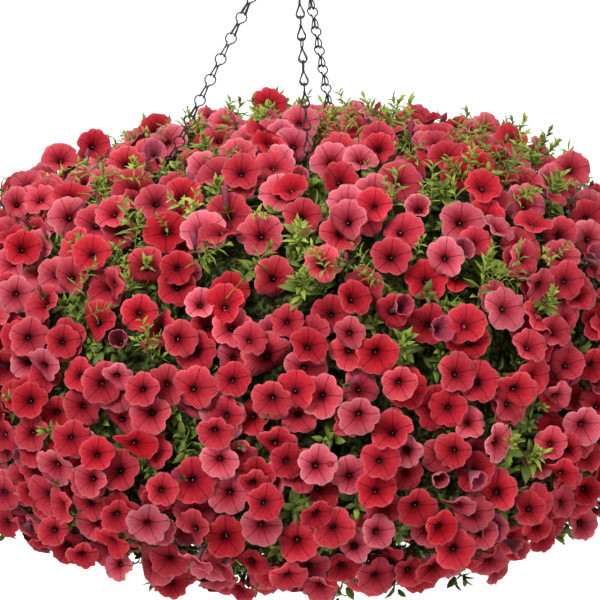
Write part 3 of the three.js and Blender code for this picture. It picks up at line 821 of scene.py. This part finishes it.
def stem_between(shape, foot, tip):
    """Adds a thin stem that tapers from its foot to its tip."""
    turn = (tip - foot).normalized().to_track_quat("Z", "Y").to_matrix().to_4x4()
    place = Matrix.Translation((foot + tip) / 2) @ turn
    cone = bmesh.ops.create_cone(shape, cap_ends=False, segments=3, radius1=STEM, radius2=0.6 * STEM,
                                 depth=(tip - foot).length, matrix=place)
    uv = shape.loops.layers.uv["leaf"]
    tone = shape.loops.layers.float_color["tone"]
    for loop in {loop for vert in cone["verts"] for loop in vert.link_loops}:
        loop[uv].uv = (0.5, 0.5)
        loop[tone] = (0.5, 1.0, 0.0, 1.0)


def tuft_template(seed):
    """The growing tip of a shoot: narrow young leaves that stand up round its end."""
    pick = Random(seed)
    shape = new_shape()
    for i in range(12):
        along = spread_way(i, pick.uniform(-0.5, 0.5), 12 + 5.5 * i + pick.uniform(-16, 16))
        size = (1.0 - 0.035 * i) * pick.uniform(0.5, 1.25)
        leaf_blade(shape, Vector((0.0, 0.0, 0.0016 * i)), along, 0.018 * size, pick.uniform(0.0034, 0.0058),
                   pick.uniform(-0.35, 0.35), 0.6, segments=2)
    return as_template(shape, f"tuft_{seed}")


def shoot_template(seed):
    """An airy shoot that grows along +Z: a thin bent stem with narrow leaves up its length."""
    pick = Random(seed)
    shape = new_shape()
    sway = Vector((pick.uniform(-0.16, 0.16), pick.uniform(-0.16, 0.16), 1.0)).normalized()
    bend = Vector((0.0, 0.0, -0.020))
    crown = bend + sway * 0.040
    stem_between(shape, Vector((0.0, 0.0, -0.040)), bend)
    stem_between(shape, bend, crown)
    for i in range(10):
        rise = i / 9
        along = spread_way(i, pick.uniform(-0.5, 0.5), 12 + 45 * rise + pick.uniform(-15, 15))
        size = (1.15 - 0.5 * rise) * pick.uniform(0.7, 1.2)
        leaf_blade(shape, bend.lerp(crown, rise), along, 0.018 * size, 0.0066 * size, pick.uniform(-0.1, 0.4),
                   0.5, segments=2)
    return as_template(shape, f"shoot_{seed}")


def fuse_copy(shape, template, matrix, tone):
    """Adds a turned and placed copy of a template to a shape, with its own tone."""
    copy = template.copy()
    copy.transform(matrix)
    tones = np.tile(np.array(tone, dtype=np.float32), len(copy.loops))
    copy.attributes["tone"].data.foreach_set("color", tones)
    shape.from_mesh(copy)
    bpy.data.meshes.remove(copy)


# A leaf copy's tones: its age, and a painted light level that brightens or darkens it for where it stands.
def leaf_tone(age, light):
    return (age, light, 0.0, 1.0)


def aimed(place, facing, size, pick):
    """The matrix that takes +Z to a direction, turned about it by chance, scales and moves."""
    spin = Matrix.Rotation(pick.uniform(0, 6.3), 4, "Z")
    turn = facing.to_track_quat("Z", "Y").to_matrix().to_4x4() @ spin
    return Matrix.Translation(place) @ turn @ Matrix.Scale(size, 4)


LEAF_TRIES = 5
LEAF_GAP = 0.0044
BUD_GAP = 0.006
PROBE_STEP = 0.004


def with_probes(template):
    """A template, and the points to test it by: its corners, and points down its stem."""
    corners = [vert.co.copy() for vert in template.vertices]
    low = min(corner.z for corner in corners)
    stem = [Vector((0.0, 0.0, -PROBE_STEP * i)) for i in range(1, round(-low / PROBE_STEP))]
    return template, corners + stem


def seat_leaves(shape, templates, place, facing, size, tone, pick):
    """Adds a cluster of leaves, if one of a few tries passes through no bloom."""
    for attempt in range(LEAF_TRIES):
        template, probes = pick.choice(templates)
        way = (facing + jitter(pick, 0.25 * attempt)).normalized()
        matrix = aimed(place, way, size * (1 - 0.12 * attempt), pick)
        points = [matrix @ probe for probe in probes]
        if within(points) and is_free(points, LEAF_GAP):
            fuse_copy(shape, template, matrix, tone)
            return


def places_on(faces, density, pick):
    """Random places on faces, so many to a square metre."""
    return scatter(faces, int(sum(face.calc_area() for face in faces) * density), pick)


leaf_material = leaf_green()
shadow_material = shadow_green()
sprigs = [with_probes(sprig_template(seed)) for seed in range(11, 15)]
tufts = [with_probes(tuft_template(seed)) for seed in range(21, 26)]
shoots = [with_probes(shoot_template(seed)) for seed in range(41, 46)]
budding = {}
# How many clusters are tried to a square metre: all over, on the crest, at the hem and behind the blooms.
YOUNG_CLUSTERS = 400
GROWN_CLUSTERS = 2800
CREST_SHOOTS = 3400
HEM_SPRIGS = 1700
FLANK_SPRIGS = 1800
INNER_SPRIGS = 500
LEAF_THICKNESS = 0.0004
# The shell of packed shoots is drawn in by this much, so that it only fills the gaps.
SHELL_DEPTH = 0.014

# Each leaf cluster gets a painted light level in its tone: up to 1.45 in the gaps between blooms and on the
# crest, painted brighter, and down to 0.8 for the inner sprigs under the mound, painted darker.
for plant, (shell, blooms, tips) in plants.items():
    pick = Random(100 + PLANTS.index(plant))
    outside = outer_faces(shell)
    crest = [face for face in outside if face.normal.z > CREST]
    hem = [face for face in shell.faces if face.calc_center_median().z < HEM_Z and face.normal.z < 0.3]
    flanks = [face for face in outer_faces(shell, -0.3) if face not in outside]
    inner = [face for face in shell.faces if face.normal.z < 0.2 and face not in outside + flanks]
    leaves = new_shape()
    budding[plant] = []
    for place, normal in scatter(outside, len(blooms) // 2, pick):
        facing = (normal + jitter(pick, 0.6) + UP * 0.6).normalized()
        bud_foot = place + normal * pick.uniform(0.012, 0.034)
        length = pick.uniform(0.018, 0.030)
        bud_points = [bud_foot + facing * (share * length) for share in (0.0, 0.5, 1.0)]
        if within(bud_points) and is_free(bud_points, BUD_GAP):
            budding[plant].append(aimed(bud_foot, facing, length, pick))
            stem_between(leaves, place - normal * 0.01, bud_foot)
            calyx = aimed(bud_foot - facing * 0.002, facing, 0.45, pick)
            fuse_copy(leaves, pick.choice(tufts)[0], calyx, leaf_tone(pick.uniform(0.2, 0.5), 0.9))
    for centre, facing, _, _ in tips:
        rise = (facing + UP * 0.7).normalized()
        reach = 0.9 if within([centre + rise * 0.018]) else 0.5
        for kinds, depth, size, ages in ((shoots, 0.0, reach, (0.55, 0.95)), (tufts, 0.006, 1.1, (0.6, 0.95)),
                                         (sprigs, 0.014, 0.9, (0.4, 0.7))):
            fuse_copy(leaves, pick.choice(kinds)[0], aimed(centre - facing * depth, rise, size, pick),
                      leaf_tone(pick.uniform(*ages), 1.1))
    for place, normal in places_on(outside, YOUNG_CLUSTERS, pick):
        rising = max(0.0, normal.z)
        facing = (normal + jitter(pick, 0.5) + UP * (0.3 + 0.7 * rising)).normalized()
        lift = pick.uniform(0.004, 0.022) + 0.020 * rising
        kinds = shoots if pick.random() < 0.15 + rising else tufts
        seat_leaves(leaves, kinds, place + normal * lift, facing, pick.uniform(0.8, 1.25),
                    leaf_tone(pick.uniform(0.35, 0.9), 1.0), pick)
    for place, normal in places_on(crest, CREST_SHOOTS, pick):
        facing = (Vector((0.0, -0.2, 1.0)) + jitter(pick, 0.55)).normalized()
        seat_leaves(leaves, shoots, place + normal * pick.uniform(0.010, 0.042), facing,
                    pick.uniform(0.8, 1.3), leaf_tone(pick.uniform(0.5, 1.0), 1.15), pick)
    for place, normal in places_on(outside, GROWN_CLUSTERS, pick):
        hang = -0.8 if place.z < HEM_Z else 0.25
        facing = (normal + jitter(pick, 0.7) + UP * hang).normalized()
        depth = pick.uniform(-0.012, 0.016)
        # Sprigs seated below the shell get a lower age cap, which paints them a darker green: painted shade.
        age = 0.12 + pick.betavariate(2, 3.0) * (0.75 if depth < 0 else 0.88)
        seat_leaves(leaves, sprigs, place + normal * depth, facing, pick.uniform(0.7, 1.15),
                    leaf_tone(age, pick.uniform(1.0, 1.45)), pick)
    for place, normal in places_on(hem, HEM_SPRIGS, pick):
        facing = (normal * 0.7 - UP + jitter(pick, 0.5)).normalized()
        seat_leaves(leaves, sprigs, place + normal * pick.uniform(0.0, 0.024) - UP * 0.012, facing,
                    pick.uniform(0.9, 1.3), leaf_tone(pick.uniform(0.15, 0.55), 1.1), pick)
    for place, normal in places_on(flanks, FLANK_SPRIGS, pick):
        facing = (normal * 0.4 + (place - MOUND_CENTRE).normalized() + jitter(pick, 0.6)).normalized()
        seat_leaves(leaves, sprigs, place + normal * pick.uniform(-0.002, 0.012), facing,
                    pick.uniform(0.7, 1.1), leaf_tone(pick.uniform(0.25, 0.7), pick.uniform(1.0, 1.4)), pick)
    # Inner sprigs under the mound get a lower painted light level: painted shade.
    for place, normal in places_on(inner, INNER_SPRIGS, pick):
        facing = (normal * 0.5 - UP * 0.7 + jitter(pick, 0.6)).normalized()
        seat_leaves(leaves, sprigs, place + normal * pick.uniform(-0.004, 0.008), facing,
                    pick.uniform(0.9, 1.4), leaf_tone(pick.uniform(0.1, 0.5), pick.uniform(0.8, 1.1)), pick)
    foliage = finish_piece(f"{plant}_leaves", leaves, [leaf_material], plant)
    foliage.modifiers.new("leaf_thickness", "SOLIDIFY").thickness = LEAF_THICKNESS
    for vert in shell.verts:
        vert.co -= vert.normal * SHELL_DEPTH
    finish_piece(f"{plant}_shoots", shell, [shadow_material], plant, smooth=False)

# ---- Petunia blooms ----
# Each bloom is one thin petal tube that flares to five joined lobes: coral to crimson, paler at the
# rim, dark in the throat, with a dark vein down each lobe and a fan of finer ones beside it.
LOBES = 5
# The rim of a lobe, from a notch on: shares of the radius, and heights in millimetres.
LOBE_RIM = [(0.87, 2.0), (0.99, 1.1), (1.045, -0.5), (1.015, -1.5), (1.045, -0.5), (0.99, 1.1)]
# Rings from the limb to the throat: share of the radius, height, and how far notches and veins leave it.
BLOOM_RINGS = [(0.66, -0.7, 1.5, -1.2), (0.34, -3.4, 0.9, -0.7), (0.125, -9.0, 0.0, 0.0)]
TUBE_SHARE = 0.085
TUBE_FOOT = -27.0
# A bloom is this many millimetres high for each unit of its template.
BLOOM_DEPTH = 25.0
PETAL_THICKNESS = 0.0005
STIGMA_MARK = 2.0


def bloom_template(seed, flare, ripple, fold=0.0, close=0.0):
    """A bloom of unit radius that faces +Z. It may be folded back on one side, or half closed."""
    pick = Random(seed)
    shape = new_shape()
    uv = shape.loops.layers.uv["leaf"]
    sizes = [pick.uniform(-0.08, 0.05) for _ in range(LOBES)]
    tilts = [pick.gauss(0.0, ripple) for _ in range(LOBES)]
    waves = [pick.gauss(0.0, 0.5 * ripple) for _ in range(LOBES * len(LOBE_RIM))]

    def of_lobe(values, turn):
        """A value that each lobe has of its own, shared out where two lobes meet."""
        lobe = round(turn)
        beside = lobe + (1 if turn > lobe else -1)
        return values[lobe % LOBES] + (values[beside % LOBES] - values[lobe % LOBES]) * abs(turn - lobe)

    def corner(turn, reach, share, height):
        angle = 2 * math.pi * turn / LOBES
        spread = reach * (1 + (share - 1 + of_lobe(sizes, turn)) * reach ** 2) * (1 - 0.62 * close * reach)
        x, y = spread * math.cos(angle), spread * math.sin(angle)
        height += of_lobe(tilts, turn) * reach ** 2 + 17 * close * reach
        past = max(0.0, x + 0.15)
        return shape.verts.new((x - 0.45 * fold * past ** 2, y, height / BLOOM_DEPTH - fold * past ** 1.6))

    def panel(*corners):
        face = shape.faces.new([vert for vert, _, _ in corners])
        for loop, (_, turn, reach) in zip(face.loops, corners):
            loop[uv].uv = (turn, reach)

    steps = len(LOBE_RIM) // 2
    sectors = 2 * LOBES
    rim = [corner(i / len(LOBE_RIM) - 0.5, 1.0, share, height + waves[i])
           for i, (share, height) in enumerate(LOBE_RIM * LOBES)]
    rings = [[corner(k / 2 - 0.5, reach, 1.0, depth * flare + (vein if k % 2 else notch))
              for k in range(sectors)] for reach, depth, notch, vein in BLOOM_RINGS]
    foot = [corner(lobe, TUBE_SHARE, 1.0, TUBE_FOOT) for lobe in range(LOBES)]
    for k in range(sectors):
        turns = [k / 2 - 0.5 + i / len(LOBE_RIM) for i in range(steps + 1)]
        edge = [(rim[(k * steps + i) % len(rim)], turns[i], 1.0) for i in range(steps + 1)]
        near, far = turns[0], turns[-1]
        after = (k + 1) % sectors
        inner = [((ring[k], near, reach), (ring[after], far, reach))
                 for ring, (reach, _, _, _) in zip(rings, BLOOM_RINGS)]
        panel(inner[0][0], edge[0], edge[1])
        panel(inner[0][0], edge[1], edge[2], inner[0][1])
        panel(inner[0][1], edge[2], edge[3])
        for outside, inside in zip(inner, inner[1:]):
            panel(inside[0], outside[0], outside[1], inside[1])
    throat_ring, throat = rings[-1], BLOOM_RINGS[-1][0]
    for lobe in range(LOBES):
        mouth = [(throat_ring[(2 * lobe + 1 + i) % sectors], lobe + i / 2, throat) for i in range(3)]
        panel((foot[lobe], lobe, TUBE_SHARE), *mouth, (foot[(lobe + 1) % LOBES], lobe + 1, TUBE_SHARE))
    thirds = [i * 2.094 for i in range(3)]
    knob = [shape.verts.new((0.02 + 0.05 * math.cos(turn), 0.05 * math.sin(turn), -0.34)) for turn in thirds]
    crown = shape.verts.new((0.02, 0.0, -0.27))
    for i in range(3):
        panel(*[(vert, 0.0, STIGMA_MARK) for vert in (knob[i], knob[(i + 1) % 3], crown)])
    return mesh_of(f"bloom_{seed}", shape)


def bud_template(seed):
    """A furled bud of unit length along +Z: a slim spindle, twisted towards its tip."""
    pick = Random(seed)
    shape = new_shape()
    uv = shape.loops.layers.uv["leaf"]
    profile = [(0.04, 0.0), (0.09, 0.4), (0.14, 0.78), (0.02, 1.0)]
    lean = pick.uniform(-0.12, 0.12)
    rings = [[shape.verts.new((r * math.cos(i * 1.2566 + z) + lean * z * z, r * math.sin(i * 1.2566 + z), z))
              for i in range(5)] for r, z in profile]
    for lower, upper, (_, z) in zip(rings, rings[1:], profile):
        for i in range(5):
            face = shape.faces.new([lower[i], lower[(i + 1) % 5], upper[(i + 1) % 5], upper[i]])
            for loop in face.loops:
                loop[uv].uv = (i, 0.3 + 0.6 * z)
    return mesh_of(f"bud_{seed}", shape)


def petal(name, back):
    material, tree, shader = new_material(name, 0.85, 0.02)
    pinkness, light, age, turn, reach = own_marks(tree)
    past_notch = math_node(tree, "FRACT", math_node(tree, "ADD", turn, 20.5))
    lobe_place = math_node(tree, "ABSOLUTE", math_node(tree, "SUBTRACT", past_notch, 0.5))
    coral = ramp(tree, reach, [(0.10, (0.022, 0.001, 0.002)), (0.18, (0.22, 0.002, 0.006)),
                               (0.40, (0.46, 0.006, 0.013)), (0.85, (0.62, 0.020, 0.032)),
                               (1.0, (0.78, 0.085, 0.105))])
    rose = ramp(tree, reach, [(0.10, (0.040, 0.002, 0.006)), (0.18, (0.32, 0.010, 0.026)),
                              (0.40, (0.66, 0.060, 0.095)), (0.85, (0.84, 0.17, 0.22)),
                              (1.0, (0.92, 0.34, 0.38))])
    base = blend(tree, "MIX", pinkness, coral, rose)
    width = math_node(tree, "MULTIPLY_ADD", math_node(tree, "SUBTRACT", 1.0, reach), 0.036, 0.016)
    main_vein = fade(tree, math_node(tree, "MULTIPLY", lobe_place, reach), 0.0, width, 1.0, 0.0)
    fan = math_node(tree, "MULTIPLY_ADD", math_node(tree, "POWER", reach, 1.6), -0.16, lobe_place)
    fan_waves = math_node(tree, "SINE", math_node(tree, "MULTIPLY", fan, 62.0))
    fan_veins = math_node(tree, "MULTIPLY", fade(tree, fan_waves, 0.2, 1.0, 0.0, 0.8),
                          fade(tree, reach, 0.98, 0.3, 0.25, 0.95))
    veins = math_node(tree, "MAXIMUM", math_node(tree, "MULTIPLY", main_vein, 0.8), fan_veins)
    veined = blend(tree, "MULTIPLY", veins, base, (0.34, 0.08, 0.18, 1.0))
    faded = blend(tree, "MIX", age, veined, (0.42, 0.12, 0.20, 1.0))
    slow, fine = uneven(tree, 260.0)
    # The bloom's painted light level, times a slow unevenness of tone, brightens or darkens the petal.
    level = math_node(tree, "MULTIPLY", light, math_node(tree, "MULTIPLY_ADD", slow, 0.7, 0.65))
    color = shaded(tree, faded, level)
    if back:
        color = blend(tree, "MIX", fade(tree, reach, 0.5, 0.15, 0.25, 0.75), color, (0.42, 0.20, 0.24, 1.0))
    stigma = math_node(tree, "GREATER_THAN", reach, STIGMA_MARK - 0.5)
    color = blend(tree, "MIX", stigma, color, (0.42, 0.36, 0.10, 1.0))
    surface(tree, shader, color, math_node(tree, "SUBTRACT", fine, veins), 0.8, 0.0016)
    shader.inputs["Sheen Weight"].default_value = 0.02
    shader.inputs["Sheen Roughness"].default_value = 0.45
    shader.inputs["Sheen Tint"].default_value = (1.0, 0.5, 0.52, 1.0)
    return material


petal_front = petal("petal_face", False)
petal_back = petal("petal_back", True)
open_blooms = [bloom_template(31 + i, flare, ripple) for i, (flare, ripple) in enumerate(
    [(1.0, 1.6), (0.8, 2.2), (1.15, 2.0), (0.6, 2.6), (1.3, 1.5), (0.9, 3.2), (1.0, 2.4), (1.1, 2.9)])]
folded_blooms = [bloom_template(51 + i, 1.1, 1.5, fold=fold) for i, fold in enumerate([0.35, 0.6, 0.9])]
closing_blooms = [bloom_template(61 + i, 1.0, 2.0, close=close) for i, close in enumerate([0.55, 0.8, 1.0])]
buds = [bud_template(seed) for seed in range(71, 74)]
# Above this height more of the blooms are pale pink, and below it they are painted darker: painted shade.
PALE_AND_SHADE_Z = -0.45
FOLDED_ABOVE = 0.72
CLOSING_ABOVE = 0.965
FADED_ABOVE = 0.975

for plant in PLANTS:
    pick = Random(200 + PLANTS.index(plant))
    corollas = new_shape()
    for centre, facing, start, radius in flowering[plant]:
        side = facing.cross(start)
        turn = Matrix((start, side, facing)).transposed().to_4x4()
        size = Matrix.Diagonal((radius, radius * pick.uniform(0.92, 1.05), BLOOM_DEPTH / 1000, 1.0))
        # Blooms below it have their painted light level cut by up to a fifth: painted shade.
        lower = max(0.0, min(1.0, (PALE_AND_SHADE_Z - centre.z) / 0.35))
        paler = 0.24 if centre.z > PALE_AND_SHADE_Z else 0.08
        pinkness = pick.betavariate(1.1, 3.4) if pick.random() > paler else pick.uniform(0.7, 1.0)
        light = pick.uniform(0.78, 1.15) * (1.0 - 0.2 * lower)
        fate = pick.random()
        kinds = folded_blooms if fate > FOLDED_ABOVE else open_blooms
        if fate > CLOSING_ABOVE:
            kinds = closing_blooms
        age = pick.uniform(0.15, 0.55) if fate > FADED_ABOVE else pick.uniform(0.0, 0.08)
        fuse_copy(corollas, pick.choice(kinds), Matrix.Translation(centre) @ turn @ size,
                  (pinkness, light, age, 1.0))
    for matrix in budding[plant]:
        fuse_copy(corollas, pick.choice(buds), matrix,
                  (pick.uniform(0.1, 0.7), 0.9, pick.uniform(0.1, 0.6), 1.0))
    piece = finish_piece(f"{plant}_blooms", corollas, [petal_front, petal_back], plant)
    thick = piece.modifiers.new("petal_thickness", "SOLIDIFY")
    thick.thickness = PETAL_THICKNESS
    thick.material_offset = 1
